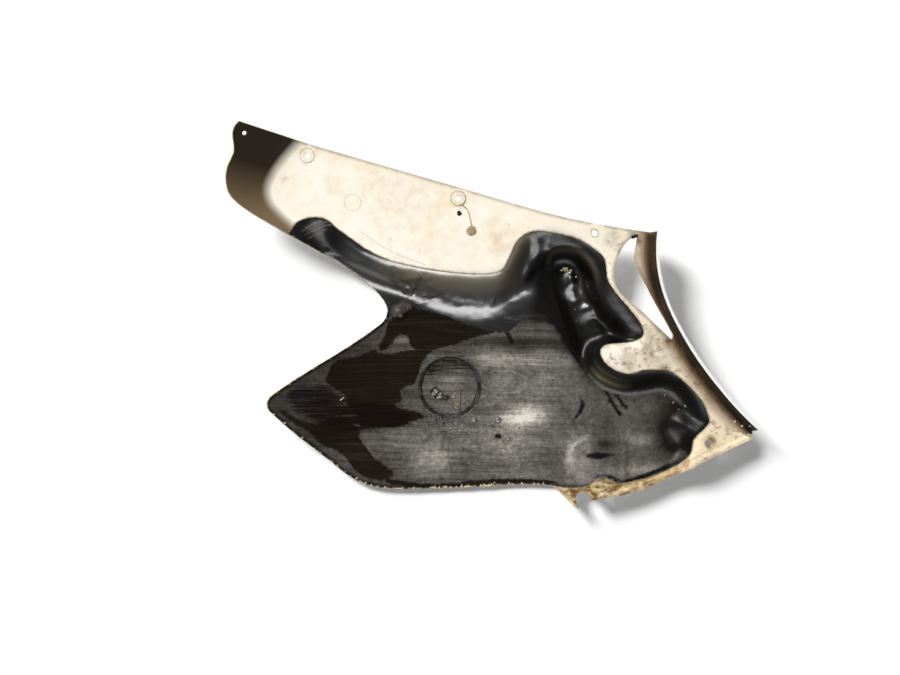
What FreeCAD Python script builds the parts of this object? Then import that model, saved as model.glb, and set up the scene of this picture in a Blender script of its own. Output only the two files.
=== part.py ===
import FreeCAD, Part
import math
import os

# Motorcycle belly pan, left-hand half, moulded in one piece. Millimetres.
# X runs forward along the line of the two upper fixings, Y runs up the motorcycle, Z points to the engine.
# The origin is midway between the upper fixings, on the faces of their seats.

# Main sizes
PAN_LENGTH = 663.0
PAN_DEPTH = 370.0
WALL = 3.2
BELLY_DEPTH = 38.0
BELLY_END_RISE = 9.0
BELLY_SIDE_RISE = 3.0
PANEL_FALL = 0.07

# Moulded step from the raised panel down to the belly: its width at the arm, under the panel, at the pocket
# and at the front
STEP_WIDTH_ARM = 28.0
STEP_WIDTH_PANEL = 50.0
STEP_WIDTH_POCKET = 10.0
STEP_WIDTH_FRONT = 21.0

# Pocket at the upper front of the belly, with a ledge round its mouth
LEDGE_DEPTH = 11.0
LEDGE_WIDTH = 22.0
POCKET_EXTRA = 5.0
POCKET_WALL = 14.0

# Turned-up end of the arm
REAR_SLOPE = 0.58
REAR_FOLD_ROUND = 9.0

# Front wall, round the wheel
FRONT_WALL_HEIGHT = 25.0
FRONT_WALL_LEAN = 3.6

# Bottom flange, tallest and widest at its rear prong
FLANGE_RISE_REAR = 27.0
FLANGE_RISE_FRONT = 5.0
FLANGE_REACH_REAR = 14.5
FLANGE_REACH_FRONT = 1.8
PRONG_LEAD = 30.0

# Fixings
FIXING_PITCH = 180.0
FIXING_BORE = 6.5
SEAT_DIAMETER = 16.0
SEAT_HEIGHT = 1.2
END_BORE = 5.0
PAD_BORE = 7.0
PAD_SINK_DIAMETER = 11.0
FLANGE_BORE = 6.0
FLANGE_BOSS_DIAMETER = 18.0
FLANGE_BOSS_HEIGHT = 2.0
NOTCH_DIAMETER = 18.0

# Details of the belly floor
DISC_DIAMETER = 66.0
DISC_SINK = 1.2
BREAK_DEPTH = 0.9
KNOB_DIAMETER = 18.0
KNOB_HEIGHT = 5.0
BOSS_DIAMETER = 64.0
BOSS_HEIGHT = 5.0
BOSS_RIM = 13.0
RING_GROOVE = 1.5

# Spacing of the net that shapes the skin, and its margin past the edge
NET_SPACING = 8.0
NET_MARGIN = 38.0

# Edge of the sheet in plan, from the top of the arm's end down, forward along the bottom and back along the top
ARM_AND_GAP = [(-169, 13), (-171.5, -6), (-167, -20), (-169, -36), (-167.5, -52), (-160.5, -66), (-143, -76.5), (-118, -84),
               (-73, -95.5), (-9, -112.5), (17, -122), (34, -132.5), (44.5, -144), (45, -156), (38, -168), (7, -205),
               (-31, -247), (-56.5, -278)]
BELLY_TIP = [(-56.5, -278), (-58, -288), (-48, -297.5)]
LOWER_EDGE = [(-48, -297.5), (-11, -316.5), (31, -334), (65, -346.5), (93, -347), (138, -336), (205, -314.5), (250, -299),
              (288, -289.5)]
FLANGE_FOLD = [(288, -289.5), (308, -286), (330, -277.5), (367, -264), (388, -251.5), (421, -226), (454, -198), (489, -170)]
FRONT_CORNER = [(489, -170), (491.5, -167), (489.5, -165)]
FRONT_CREASE = [(489.5, -165), (456, -147), (428, -128.5), (400, -107.5), (375, -85), (352, -60.5), (333, -33.5), (322, -10),
                (313.5, 23)]
TOP_EDGE = [(313.5, 23), (266, 17), (210, 12.3), (138, 11.8), (-33, 13), (-169, 13)]
EDGE = [ARM_AND_GAP, BELLY_TIP, LOWER_EDGE, FLANGE_FOLD, FRONT_CORNER, FRONT_CREASE, TOP_EDGE]

# Air slot between the panel and the front wall
SLOT_REAR = [(300, 13.5), (294, 10.5), (289, 3.5), (285.5, -9), (284.5, -25), (286, -37), (294, -49), (325, -65.5), (355, -81), (366, -86.5)]
SLOT_TIP = [(366, -86.5), (371, -88), (370.5, -82.5)]
SLOT_FRONT = [(370.5, -82.5), (357, -69), (339, -51.5), (316, -27), (304, -11), (301, 4), (300, 13.5)]
SLOT = [SLOT_REAR, SLOT_TIP, SLOT_FRONT]

# Top of the moulded step, from the arm round the pocket and the tongue to the front pad
STEP_LINE = [(-110, -104), (-78, -81), (-65, -68), (-49, -65), (-28, -78), (5, -92.5), (47, -95), (93, -88), (135, -77),
             (161, -65), (169.5, -46), (173.5, -29.5), (182, -17.5), (196, -9.5), (230, -5), (255, -11.5), (273, -26.5),
             (283, -46), (300, -62.5), (325, -79.5), (339, -92), (337, -102), (323, -110), (304, -118), (300, -129),
             (309, -139), (328, -143.5), (354, -135.5), (376, -127), (396, -130), (415, -141), (428, -154.5), (437, -168),
             (434, -181), (432, -192), (436, -204), (432, -220), (450, -250)]

# Mouth of the pocket
POCKET_MOUTH = [(212, -70), (204, -56), (203, -42), (209, -24), (221, -17), (238, -16), (255, -24), (266, -42), (277, -60),
                (298, -78), (319, -93), (322, -104), (304, -110), (293, -118), (290, -130), (297, -142), (304, -153), (296, -156),
                (282, -146), (267, -132), (253, -118), (242, -104), (231, -90), (220, -80), (212, -70)]

# Line where the arm's end starts to turn up, led away through the gap under the arm
REAR_FOLD = [(-78, 40), (-96, 16), (-114, -4), (-125, -33), (-125, -52), (-115, -68), (-95, -80), (-74, -91), (-54, -106),
             (-70, -124), (-130, -142), (-240, -170)]

# Places of the details in plan
PANEL_FALL_START = 250.0
BELLY_CENTRE = (190.0, -200.0)
FRONT_UPPER_HOLE = (251.5, 4.5)
END_HOLE = (-161.0, 2.5)
PAD_HOLE = (446.5, -191.0)
FLANGE_HOLE_SHARE = 0.21
FLANGE_HOLE_CLIMB = 0.33
NOTCH = (324.0, -295.0)
DISC = (140.0, -212.0)
KNOB = (60.0, -144.0)
BOSS = (328.0, -250.0)
BREAK = [(133.5, -223), (140, -226.5), (145.5, -222.5), (151.5, -217), (158.5, -240.5), (150.5, -236), (142, -229.5)]

# Soft swellings in and beside the pocket and at the front of the belly: x, y, radius along x, radius along y, height
SWELLINGS = [(243, -56, 11, 21, 8), (270, -84, 13, 13, 6), (287, -100, 15, 10, 5), (414, -180, 23, 21, 9)]

UP = FreeCAD.Vector(0, 0, 1)

edge_x = [x for run in EDGE for x, y in run]
edge_y = [y for run in EDGE for x, y in run]
ALONG = PAN_LENGTH / (max(edge_x) - min(edge_x))
ACROSS = PAN_DEPTH / (max(edge_y) - min(edge_y))


def smooth(t):
    t = max(0.0, min(1.0, t))
    return t * t * (3.0 - 2.0 * t)


def soft_ramp(t, rounding):
    return 0.5 * (t + math.sqrt(t * t + rounding * rounding))


def plan_curve(points):
    curve = Part.Geom2d.BSplineCurve2d()
    curve.interpolate([FreeCAD.Base.Vector2d(x, y) for x, y in points])
    return curve


def walk(points, step):
    curve = plan_curve(points)
    count = int(curve.length() / step)
    first, last = curve.FirstParameter, curve.LastParameter
    spots = [curve.value(first + (last - first) * i / count) for i in range(count + 1)]
    return [(spot.x, spot.y) for spot in spots]


def side_gap(line, x, y):
    # Distance from a line in plan, positive on its right hand.
    nearest, sign = math.inf, 1.0
    for (ax, ay), (bx, by) in zip(line, line[1:]):
        ux, uy = bx - ax, by - ay
        t = max(0.0, min(1.0, ((x - ax) * ux + (y - ay) * uy) / (ux * ux + uy * uy)))
        dx, dy = x - ax - t * ux, y - ay - t * uy
        gap = dx * dx + dy * dy
        if gap < nearest:
            nearest, sign = gap, (1.0 if ux * dy - uy * dx < 0 else -1.0)
    return sign * math.sqrt(nearest)


step_walk = walk(STEP_LINE, 4.0)
mouth_walk = walk(POCKET_MOUTH, 4.0)
fold_walk = walk(REAR_FOLD, 5.0)


def step_width(x, y):
    width = STEP_WIDTH_ARM + (STEP_WIDTH_PANEL - STEP_WIDTH_ARM) * smooth((x - 45.0) / 95.0)
    forward = STEP_WIDTH_POCKET + (STEP_WIDTH_FRONT - STEP_WIDTH_POCKET) * smooth((-110.0 - y) / 18.0)
    return width + (forward - width) * smooth((x - 160.0) / 50.0)


def step_fall(t):
    # Share of the step's depth, brisk under the panel and easing out to the floor.
    t = max(0.0, min(1.0, t))
    return 0.5 * smooth(t) + 0.5 * t * (2.0 - t)


def swelling(x, y, cx, cy, rx, ry, height):
    return height * smooth(1.0 - math.hypot((x - cx) / rx, (y - cy) / ry))


def relief(x, y):
    # Height of the engine-side face over a point in plan.
    panel = -SEAT_HEIGHT - PANEL_FALL * soft_ramp(x - PANEL_FALL_START, 40.0)
    belly = -BELLY_DEPTH + BELLY_END_RISE * ((x - BELLY_CENTRE[0]) / 250.0) ** 2
    belly += BELLY_SIDE_RISE * ((y - BELLY_CENTRE[1]) / 150.0) ** 2
    belly = panel + (belly - panel) * smooth((x + 115.0) / 135.0)
    inside = side_gap(step_walk, x, y)
    in_mouth = smooth(side_gap(mouth_walk, x, y) / POCKET_WALL)
    on_ledge = (1.0 - smooth((inside - LEDGE_WIDTH) / 14.0)) * smooth((x - 172.0) / 26.0) * smooth((y + 112.0) / 22.0)
    floor = belly + on_ledge * (1.0 - in_mouth) * (-LEDGE_DEPTH - belly) - POCKET_EXTRA * in_mouth
    z = panel + (floor - panel) * step_fall(inside / step_width(x, y))
    z += REAR_SLOPE * soft_ramp(side_gap(fold_walk, x, y), REAR_FOLD_ROUND)
    z += BOSS_HEIGHT * smooth((BOSS_DIAMETER / 2 - math.hypot(x - BOSS[0], y - BOSS[1])) / BOSS_RIM)
    return z + sum(swelling(x, y, *bump) for bump in SWELLINGS)


# Two skins over one net, the outer one a wall thickness behind the inner one
def net_knots(values):
    low, high = min(values) - NET_MARGIN, max(values) + NET_MARGIN
    count = round((high - low) / NET_SPACING)
    return [low + (high - low) * i / count for i in range(count + 1)]


def net_stations(knots):
    padded = [knots[0]] * 3 + knots + [knots[-1]] * 3
    return [sum(padded[i + 1:i + 4]) / 3.0 for i in range(len(padded) - 4)]


x_knots, y_knots = net_knots(edge_x), net_knots(edge_y)
x_net, y_net = net_stations(x_knots), net_stations(y_knots)


def skin(net):
    surface = Part.BSplineSurface()
    x_mults = [4] + [1] * (len(x_knots) - 2) + [4]
    y_mults = [4] + [1] * (len(y_knots) - 2) + [4]
    surface.buildFromPolesMultsKnots(net, x_mults, y_mults, x_knots, y_knots, False, False, 3, 3)
    return surface


inner_net = [[FreeCAD.Vector(x * ALONG, y * ACROSS, relief(x, y)) for y in y_net] for x in x_net]
inner = skin(inner_net)
outer = skin([[pole - inner.normal(x, y) * WALL for pole, y in zip(row, y_net)] for row, x in zip(inner_net, x_net)])


def closed_solid(faces):
    shell = Part.Shell(faces)
    shell.sewShape()
    return Part.Solid(shell)


def trimmed(surface):
    face = Part.Face(Part.Wire([plan_curve(run).toShape(surface) for run in EDGE]))
    face.cutHoles([Part.Wire([plan_curve(run).toShape(surface) for run in SLOT])])
    face.validate()
    return face


def sheet():
    engine_face, outer_face = trimmed(inner), trimmed(outer)
    faces = [engine_face, outer_face]
    for near, far in zip(engine_face.Wires, outer_face.Wires):
        faces += [Part.makeRuledSurface(a, b) for a, b in zip(near.Edges, far.Edges)]
    return closed_solid(faces)


# Walls that stand on the edge of the sheet and wrap it
WALL_STATIONS = 12
ROOT = 1.2


def on_skin(x, y):
    return inner.value(x, y), inner.normal(x, y)


def edge_station(run, share):
    curve = plan_curve(run)
    spot = curve.FirstParameter + (curve.LastParameter - curve.FirstParameter) * share
    place, heading = curve.value(spot), curve.tangent(spot)
    along = FreeCAD.Vector(heading.x * ALONG, heading.y * ACROSS, 0).normalize()
    foot, normal = on_skin(place.x, place.y)
    return foot, normal, along, FreeCAD.Vector(along.y, -along.x, 0)


def wall_section(foot, normal, outward, rim):
    return [foot - outward * ROOT - normal * (WALL * 0.2), rim, rim + outward * WALL,
            foot + outward * (ROOT * 0.7) - normal * (WALL * 1.12)]


def front_section(share):
    foot, normal, along, outward = edge_station(FRONT_CREASE, share)
    return wall_section(foot, normal, outward, foot + outward * FRONT_WALL_LEAN + UP * FRONT_WALL_HEIGHT)


def flange_rim(share):
    foot, normal, along, outward = edge_station(FLANGE_FOLD, share)
    back = 1.0 - share
    reach = FLANGE_REACH_FRONT + (FLANGE_REACH_REAR - FLANGE_REACH_FRONT) * back ** 1.6
    rise = FLANGE_RISE_FRONT + (FLANGE_RISE_REAR - FLANGE_RISE_FRONT) * back ** 1.5
    return foot + outward * reach + UP * rise + along * (PRONG_LEAD * back ** 8)


def flange_section(share):
    foot, normal, along, outward = edge_station(FLANGE_FOLD, share)
    return wall_section(foot, normal, outward, flange_rim(share))


def standing_wall(section):
    sections = [section(i / WALL_STATIONS) for i in range(WALL_STATIONS + 1)]
    tracks = []
    for corner in zip(*sections):
        track = Part.BSplineCurve()
        track.interpolate(Points=list(corner), Parameters=list(range(len(corner))))
        tracks.append(track.toShape())
    faces = [Part.makeRuledSurface(tracks[k], tracks[(k + 1) % 4]) for k in range(4)]
    for a, b, c, d in (sections[0], sections[-1]):
        faces.append(Part.makeRuledSurface(Part.makeLine(a, b), Part.makeLine(d, c)))
    return closed_solid(faces)


pan = sheet().fuse([standing_wall(front_section), standing_wall(flange_section)])


# Fixings
def post(diameter, point, axis, below, above):
    return Part.makeCylinder(diameter / 2, below + above, point - axis * below, axis)


THROUGH = 6 * WALL

for x in (-FIXING_PITCH / 2, FIXING_PITCH / 2):
    seat = FreeCAD.Vector(x, 0, 0)
    pan = pan.fuse(post(SEAT_DIAMETER, seat, UP, SEAT_HEIGHT + WALL / 2, 0.0))
    pan = pan.cut(post(FIXING_BORE, seat, UP, THROUGH, THROUGH))

for hole, bore in ((FRONT_UPPER_HOLE, FIXING_BORE), (END_HOLE, END_BORE), (PAD_HOLE, PAD_BORE)):
    point, normal = on_skin(*hole)
    pan = pan.cut(post(bore, point, normal, THROUGH, THROUGH))

point, normal = on_skin(*PAD_HOLE)
sink = (PAD_SINK_DIAMETER - PAD_BORE) / 2
pan = pan.cut(Part.makeCone(PAD_BORE / 2, PAD_SINK_DIAMETER / 2 + sink, 2 * sink, point - normal * sink, normal))

foot, normal, along, outward = edge_station(FLANGE_FOLD, FLANGE_HOLE_SHARE)
climb = flange_rim(FLANGE_HOLE_SHARE) - foot
flange_normal = climb.cross(along).normalize()
flange_hole = foot + climb * FLANGE_HOLE_CLIMB
pan = pan.fuse(post(FLANGE_BOSS_DIAMETER, flange_hole, flange_normal, WALL / 2, FLANGE_BOSS_HEIGHT))
pan = pan.cut(post(FLANGE_BORE, flange_hole, flange_normal, THROUGH / 2, THROUGH / 2))
notch = FreeCAD.Vector(NOTCH[0] * ALONG, NOTCH[1] * ACROSS, 0)
pan = pan.cut(post(NOTCH_DIAMETER, notch, UP, BELLY_DEPTH, BELLY_DEPTH))

# Knob beside the gap, sunk disc in the belly floor and the break in it
point, normal = on_skin(*KNOB)
knob_radius = (KNOB_DIAMETER ** 2 / 4 + KNOB_HEIGHT ** 2) / (2 * KNOB_HEIGHT)
ball = Part.makeSphere(knob_radius, point - normal * (knob_radius - KNOB_HEIGHT))
pan = pan.fuse(ball.common(post(2 * KNOB_DIAMETER, point, normal, WALL / 2, 2 * KNOB_HEIGHT)))

point, normal = on_skin(*DISC)
pan = pan.cut(post(DISC_DIAMETER, point, normal, DISC_SINK, BELLY_DEPTH))
pan = pan.cut(Part.makeTorus(DISC_DIAMETER / 2, RING_GROOVE, point - normal * DISC_SINK / 2, normal))
break_floor = point.z - DISC_SINK - BREAK_DEPTH
break_edge = [FreeCAD.Vector(x * ALONG, y * ACROSS, break_floor) for x, y in BREAK + BREAK[:1]]
pan = pan.cut(Part.Face(Part.makePolygon(break_edge)).extrude(UP * BELLY_DEPTH))

os.makedirs("parts", exist_ok=True)
pan.exportStep("parts/belly_pan.step")
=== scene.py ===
import math

import bmesh
import bpy
import numpy as np
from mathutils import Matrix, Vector
from mathutils.bvhtree import BVHTree
from mathutils.geometry import delaunay_2d_cdt
from mathutils.kdtree import KDTree


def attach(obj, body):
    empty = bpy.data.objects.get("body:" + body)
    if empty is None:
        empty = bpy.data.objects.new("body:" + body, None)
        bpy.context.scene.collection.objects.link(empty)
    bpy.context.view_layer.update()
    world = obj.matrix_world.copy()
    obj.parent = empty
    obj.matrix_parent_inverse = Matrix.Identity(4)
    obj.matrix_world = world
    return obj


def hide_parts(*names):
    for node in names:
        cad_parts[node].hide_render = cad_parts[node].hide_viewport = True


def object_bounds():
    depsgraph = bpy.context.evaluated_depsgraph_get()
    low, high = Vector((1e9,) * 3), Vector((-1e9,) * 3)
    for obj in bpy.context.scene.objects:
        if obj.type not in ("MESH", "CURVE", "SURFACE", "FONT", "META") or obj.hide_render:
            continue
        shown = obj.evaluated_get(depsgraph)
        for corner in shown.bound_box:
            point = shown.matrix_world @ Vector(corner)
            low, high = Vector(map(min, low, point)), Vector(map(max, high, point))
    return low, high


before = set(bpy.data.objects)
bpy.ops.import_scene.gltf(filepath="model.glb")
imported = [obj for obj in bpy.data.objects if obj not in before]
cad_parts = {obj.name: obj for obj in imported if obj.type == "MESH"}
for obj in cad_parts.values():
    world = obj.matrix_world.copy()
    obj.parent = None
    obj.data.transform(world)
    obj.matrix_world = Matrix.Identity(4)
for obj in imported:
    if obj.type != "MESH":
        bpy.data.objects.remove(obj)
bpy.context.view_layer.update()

MM = 0.001

# Lines and places on the engine side, in plan millimetres from the upper fixings

# Edge of the black coat, from the arm round the pocket, the tongue and the front pad to the bottom flange
COAT_LINE = [(-83.4, -84.5), (-81.1, -77.8), (-73.6, -70.8), (-63.2, -65.5), (-51.8, -63.9), (-44.1, -66),
             (-32.7, -72.3), (-17, -77.4), (-1, -83.6), (16.9, -88.1), (34.2, -90.3), (57.8, -89.6),
             (81, -87.3), (115.3, -82.4), (144.3, -75.3), (156.9, -69.2), (162.4, -63.5), (164.3, -53.5),
             (165.9, -42.3), (167.5, -31.1), (170.4, -24.4), (175.6, -17.7), (185.7, -11.2),
             (201.6, -8.4), (225, -6.5), (237.1, -7.3), (250.1, -10.8), (260.8, -14.9), (269.1, -19),
             (274.2, -28.2), (279.1, -41.1), (284.6, -47.9), (296.9, -57.5), (311.5, -66.5), (325, -75.8),
             (334.9, -85), (337.5, -91.4), (335.3, -98), (327.7, -103.8), (314.4, -108.7),
             (301.8, -113.5), (296.4, -118.6), (295.4, -124.9), (298.8, -131), (305, -136.4),
             (315.8, -140.6), (330.6, -141.7), (339.3, -138.3), (347.2, -132.2), (362.7, -127.4),
             (376.2, -123.6), (389.3, -127.1), (402, -133.1), (415, -140.3), (427.5, -150),
             (435.1, -159.8), (439.8, -168.1), (436.7, -176), (430.1, -186.3), (427.3, -193.5),
             (428.9, -201.7), (429.6, -208.7), (426.1, -217), (418.3, -227.3), (403.5, -241.5),
             (385.3, -254), (368.5, -263), (359.7, -266.2), (351.9, -264.7), (341.4, -263.6),
             (333.1, -268.4), (330.2, -274.4), (320.6, -282.3), (305.2, -287.9), (293.4, -288.9)]
# The rest of its outline, clear of the part: below the bottom edge, round the tip
# and through the gap under the arm
COAT_BEYOND = [(260, -310), (90, -370), (-90, -300), (-20, -200), (20, -150), (-20, -125), (-90, -105)]
# Foot of the step, where the thick gloss coat gives way to the thin brushed coat of the belly floor
FLOOR_LINE = [(-140, -176), (34, -172.3), (42.9, -147.9), (56.4, -130.8), (72.2, -121.6), (88.5, -119.4),
              (101.7, -119.2), (119.8, -118.9), (145.3, -122.5), (169.4, -121.8), (187.8, -117.8),
              (208.6, -109.5), (234.3, -105.9), (247, -116.9), (261.4, -132.4), (280, -146.6),
              (298.6, -160.8), (315.4, -164.6), (332.9, -162), (355.9, -157.9), (371.7, -149.7),
              (386.8, -147.9), (403.4, -155.3), (421.5, -183.4), (460, -230)]
# Edge of the brown overspray on the turned-up end of the arm
SPRAY_LINE = [(-102.5, 25.8), (-104.9, 11.5), (-115, -7.8), (-123.2, -29.2), (-125.9, -49),
              (-119.3, -63.8), (-104.7, -73.8), (-89.4, -81.4), (-75.8, -88.2), (-60.4, -95.1)]
# Oil-dark patches on the belly floor
OIL_PATCHES = [[(53.8, -152.1), (67.6, -140.9), (79.2, -120.8), (90.4, -117.7), (110.8, -121.4),
                (134, -125.7), (158.2, -125), (183.6, -120.2), (173.6, -136.5), (148.1, -149.8),
                (132.3, -162.8), (117.4, -170.6), (106.8, -176.1), (84.2, -182.5), (77.8, -168.4),
                (65.6, -168.2), (61.4, -179.2), (53.3, -193.6), (45.3, -191), (50.5, -175),
                (48.9, -160.8)],
               [(-2.1, -245.7), (-1.9, -233.5), (0, -223.2), (6.2, -215.4), (17, -211.2), (29.9, -205.1),
                (43, -191.7), (49.5, -197.2), (63, -193.3), (79.7, -183.7), (110.7, -172.6),
                (104.2, -184.1), (100, -195.1), (100.4, -209.6), (99.6, -219.6), (91.2, -224.4),
                (83.5, -231.4), (91.2, -241.4), (81.8, -251.4), (94.3, -252.7), (107.9, -248.9),
                (124, -254.1), (111.1, -260.2), (95.6, -274.3), (68.6, -281.8), (50.6, -286.9),
                (49.1, -277.6), (32.9, -267.5), (26.5, -262), (29.7, -256.2), (5.8, -248.3)],
               [(-48.2, -289.4), (-36.6, -290), (-18.4, -297.2), (7, -295.3), (11.5, -285.6),
                (20.4, -283.2), (25.9, -276.8), (50.6, -286.9), (53.7, -298.1), (65.9, -306.9),
                (75.9, -316.2), (94.2, -320.8), (105.8, -327.3), (97.1, -339.4), (70.7, -340.7),
                (59.5, -335.3), (38, -319.5), (15.9, -318.4), (-6.9, -305.1), (-26.8, -300.6)],
               [(93.2, -334.4), (118.6, -333), (153.1, -327), (174.7, -318), (207, -306), (228.6, -298),
                (263.4, -289), (287.5, -284), (285.2, -290), (232.7, -302.5), (177.6, -323),
                (132.8, -336.7), (99.9, -341)]]
# Oil dragged out thin by the brush, so that the grey film shows between its streaks
STREAKED_OIL = [[(-38, -264.2), (-16.1, -255.5), (-1.1, -250), (12.8, -255), (30.3, -258), (81.9, -252),
                 (115.2, -262.7), (80.3, -279.6), (49.5, -290.2), (19.8, -295.1), (-3, -292.8),
                 (-24.4, -284.4), (-37.3, -276.6)],
                [(108.8, -205), (111.6, -190), (120.5, -181.3), (135.8, -175.3), (152.9, -175.5),
                 (161.7, -181.6), (145, -187.7), (121.9, -196.2), (113.3, -208)]]
# Runs of thick coat that dripped down onto the belly floor, with their half-widths
DRIPS = [([(177.3, -119.6), (185.1, -129.6), (195.7, -141.2)], 2.6),
         ([(153.3, -125.1), (155.1, -135.6)], 2.4),
         ([(313.4, -161.5), (324.6, -175.4), (340.2, -187.9)], 2.2),
         ([(326.5, -165.1), (335.8, -172.2), (345, -179.3)], 1.8),
         ([(339.9, -153.8), (335.8, -163.6), (332.3, -168.3)], 1.6)]

# Crease at the foot of the front wall
FRONT_CREASE = [(313.5, 23), (322, -10), (333, -33.5), (352, -60.5), (375, -85), (400, -107.5),
                (428, -128.5), (456, -147), (489.5, -165)]
# Grey film that dulls the belly floor, as soft patches: x, y, reach along the brush and across it, strength.
# The strongest patches and the streaks in the bowl are painted sheen of the lamps on the brushed floor,
# the narrow patch on the left of the boss is a painted highlight and the negative one inside the boss painted
# shade
FILM_AND_SHEEN = [(79.6, -299.4, 60, 26, 0.12), (147, -301, 24, 20, 0.50), (213.4, -255.7, 80, 34, 0.14),
        (233, -221, 28, 14, 1.25), (218.1, -186.1, 55, 20, 0.18), (205, -161, 90, 10, 0.42),
        (200, -140, 90, 9, -0.14), (371, -211, 20, 8, 0.34), (391.4, -241.3, 26, 8, 0.36),
        (316, -262, 26, 20, 0.22), (309, -228, 24, 11, 0.2), (299, -253, 6, 18, 0.45),
        (328, -227, 18, 7, -0.2), (347, -258, 13, 12, 0.22), (140, -212, 40, 36, 0.06),
        (70.7, -173, 10, 9, 0.10), (140, -203, 16, 5, 0.16), (230, -112, 30, 12, 0.10),
        (402, -186, 34, 34, -0.2), (412, -205, 24, 24, -0.14), (404, -150, 26, 22, -0.14)]
# Black marks: the soot smear on the boss, the pit in the floor and the hook of a turned brush; the black in
# the mouth of the pocket and down the slope beside it, and the wedge in the groove at the front corner, are
# painted shade
SHADE_AND_SOOT_PATCHES = [[(311, -246), (322, -239), (334, -236.5), (349, -234), (338, -241), (330, -247)],
                [(205, -251), (210, -249), (216, -250.5), (213, -255), (207, -254.5)],
                [(215.2, -44), (213.7, -32.2), (222.5, -25), (233.9, -22), (247, -25), (258.9, -34),
                 (268, -49.6), (257.7, -43.9), (247.6, -37.5), (233.6, -38), (230, -42), (235, -58.1),
                 (244, -76), (256, -95.1), (270, -114), (279, -131.6), (269, -134), (257, -116.8),
                 (244, -97.6), (231, -78.3), (221, -60.8)],
                [(289, -181), (294, -184), (299, -190), (296, -202), (288, -213), (292, -201),
                 (293, -190)],
                [(455, -143.5), (470, -148.5), (486, -157), (493, -165), (489, -169), (478, -162),
                 (464, -153.5)]]
# Black along the foot of the coat in the front bowl, and along the flange where it is painted shade
# under the edge of the coat, with its half-width
DARK_RUNS = [([(397, -138), (408.5, -143), (420.3, -152), (431.1, -161), (434, -170), (429, -182),
               (424, -200)], 9.0),
             ([(426.8, -200.3), (427.6, -213.1), (422.5, -221.3), (410.8, -230.7), (393.9, -244.8),
               (376.4, -257.3), (362.7, -264.4), (351.3, -262.2), (340.5, -262.3), (331.8, -268.8),
               (331, -274.5)], 2.6)]
# Crest of the arch over the pocket, painted lighter grey as a highlight
ARCH_CREST_HIGHLIGHT = [(211.8, -40), (210.1, -32.5), (211.7, -27.4), (222.5, -21.1), (241.6, -19.2),
              (255.6, -25.4), (266.4, -37.3), (275.6, -52.2)]
# Flakes of thin coat lifting in the corner of the step
FLAKY_PATCH = [(176, -117), (188, -107), (208, -98), (222, -98), (231, -105), (222, -113), (206, -113),
               (190, -119)]
# Brush stroke that turned back on itself: its middle and its reach along and across
SWIRL = (205, -188, 34, 21)
# Brown stains on the bare moulding, and on the flange brown that is partly painted shade on its slope:
# x, y, radius, strength
STAINS_AND_SHADE = [(-53.2, -23.4, 8.5, 0.20), (150, -36, 12, 0.35), (135, -18, 10, 0.15), (25, -18, 34, 0.14),
          (70, -40, 40, 0.10), (-12, -8, 12, 0.16), (281, 4, 6, 0.5), (270, 3, 6, 0.3),
          (345, -105, 5, 0.5), (356, -109, 6, 0.55), (386, -103, 5, 0.5), (370, -120, 6, 0.4),
          (330, -131.6, 6, 0.45), (300, -122, 6, 0.6), (312, -127, 8, 0.35), (327, -118, 14, 0.25),
          (367, -90, 4, 0.9), (381, -97, 6, 0.5), (413, -125, 10, 0.4), (433, -144, 10, 0.4),
          (340, -60, 12, 0.3), (358, -100, 18, 0.4), (304, -289, 9, 0.8), (316, -298, 8, 0.7),
          (371.4, -270.7, 2.5, 1.0), (298, 13, 7, 0.7), (-108, -33, 4, 0.3), (28, -64, 3, 0.3),
          (330, 5, 16, 0.4), (96, -7, 5, 0.35), (446, -191, 6, 1.0), (318, -292, 26, 1.0),
          (350, -280, 26, 0.95), (385, -266, 24, 0.85), (425, -242, 22, 0.7), (462, -218, 18, 0.55),
          (-90, 0, 7, 0.25), (90, 0, 8, 0.4)]
FIXING_HOLES = [(-90, 0), (90, 0), (251.5, 4.5), (-161.7, 2.8), (446.3, -191), (338.2, -278.1)]
# Fine brown lines: scribed circle, cracks, scratches and the tide mark of a pad that was taken off
SCRIBED_CIRCLE = (-25.3, -37.5, 9.6)
SCRATCHES = [[(63.7, -66.5), (63.7, -72.4)],
             [(-13.6, -9.8), (-12.3, -5.8)],
             [(245.3, 5), (247.1, 9.5), (252.7, 8)],
             [(-10, -66), (30, -80), (75, -83.5)],
             [(150, -12), (156, -13.5)],
             [(300, -121), (304, -125), (302, -128)],
             [(318, -126), (327, -131), (336, -127)],
             [(-110, -34), (-106, -31)]]
# Swellings of the black coat in the pocket, on the boss and on the arm, as ridges: path, half-width, height
RIDGES = [([(211, -41.8), (208.4, -34.8), (208.6, -28.3), (216, -22), (229.5, -18.6), (242.1, -20.4),
            (253.3, -27.5), (261.8, -36.1)], 4.0, 2.6),
          ([(191, -23.9), (194.8, -35.8), (200.2, -47.9)], 6.0, 1.6),
          ([(242, -49), (246, -56)], 4.2, 1.7),
          ([(249, -65), (251, -70)], 4.0, 1.5),
          ([(270, -78), (277, -84)], 4.6, 1.6),
          ([(282, -93), (290, -97)], 4.0, 1.3),
          ([(303.8, -277), (297.5, -262), (297, -246), (303, -234), (313, -226)], 3.6, 1.9),
          ([(355.2, -219), (360.7, -241.2), (364.6, -259.9)], 3.2, 1.5),
          ([(-38.6, -99.1), (-16.1, -102.3), (3.7, -104), (31.2, -108.1), (60.8, -116.2)], 3.5, 1.3)]
# Foot of the step, where the coat pooled into a broad fillet, and how far the fillet reaches
FOOT_LINE = [(48.2, -103.6), (77.5, -110.5), (114.2, -118), (131.4, -118), (167.8, -116.2), (185.9, -109),
             (202, -90.7), (203.2, -73.3)]
FILLET_REACH = 11
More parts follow.
